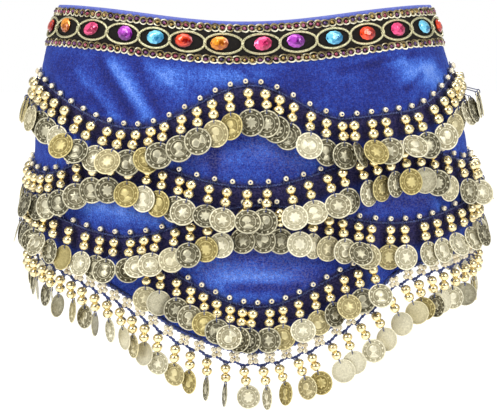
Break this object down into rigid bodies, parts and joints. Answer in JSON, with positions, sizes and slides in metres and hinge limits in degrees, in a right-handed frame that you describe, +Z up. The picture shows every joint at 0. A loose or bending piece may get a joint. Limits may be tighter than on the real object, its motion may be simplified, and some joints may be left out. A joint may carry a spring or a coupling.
{
  "type": "belly dance hip scarf",
  "caption": "Hollow worn hip scarf: a velvet wrap with a jewelled waist trim, swagged rows of bead and coin dangles and an open beaded lattice under its hem.",
  "frame": {"origin": "centre of the waistband, inside the hollow, where the wearer holds it", "axes": "+Z up through the waist, +X to the right as seen from the near side, -Y towards the near side with the longest drop"},
  "size_m": [0.4165, 0.2575, 0.3416],
  "materials": {
    "velvet": "crushed pile, royal blue",
    "jacquard": "woven black ribbon",
    "gold_braid": "metallic thread and small rings",
    "antique_brass": "thin stamped coin, pale and worn",
    "gold_bead": "metal plated, polished",
    "crochet_thread": "dark blue twisted thread",
    "hook_and_loop": "matt looped pile",
    "gem_pink": "clear faceted",
    "gem_purple": "clear faceted",
    "gem_light_blue": "clear faceted",
    "gem_red": "clear faceted",
    "gem_orange": "clear faceted"
  },
  "bodies": {
    "root": {"cloth_panel": "velvet", "closure_tab": "velvet", "hook_and_loop_pad": "hook_and_loop", "gem_trim_ribbon": "jacquard", "ring_braid_upper": "gold_braid", "ring_braid_lower": "gold_braid", "gem_01": "gem_pink", "gem_02": "gem_purple", "gem_03": "gem_light_blue", "gem_04": "gem_red", "gem_05": "gem_pink", "gem_06": "gem_light_blue", "gem_07": "gem_red", "gem_08": "gem_red", "gem_09": "gem_orange", "gem_10": "gem_pink", "gem_11": "gem_purple", "gem_12": "gem_light_blue", "gem_13": "gem_red", "gem_14": "gem_orange", "gem_15": "gem_pink", "gem_16": "gem_purple", "gem_17": "gem_light_blue", "gem_18": "gem_red", "gem_19": "gem_pink", "gem_20": "gem_light_blue", "gem_21": "gem_red", "gem_22": "gem_red", "gem_23": "gem_orange", "gem_24": "gem_pink", "gem_25": "gem_purple", "gem_26": "gem_light_blue", "gem_27": "gem_red", "gem_28": "gem_orange", "coin_row_1": "antique_brass", "coin_row_2": "antique_brass", "coin_row_3": "antique_brass", "coin_row_4": "antique_brass", "hem_lattice_fringe": "antique_brass"}
  },
  "joints": []
}
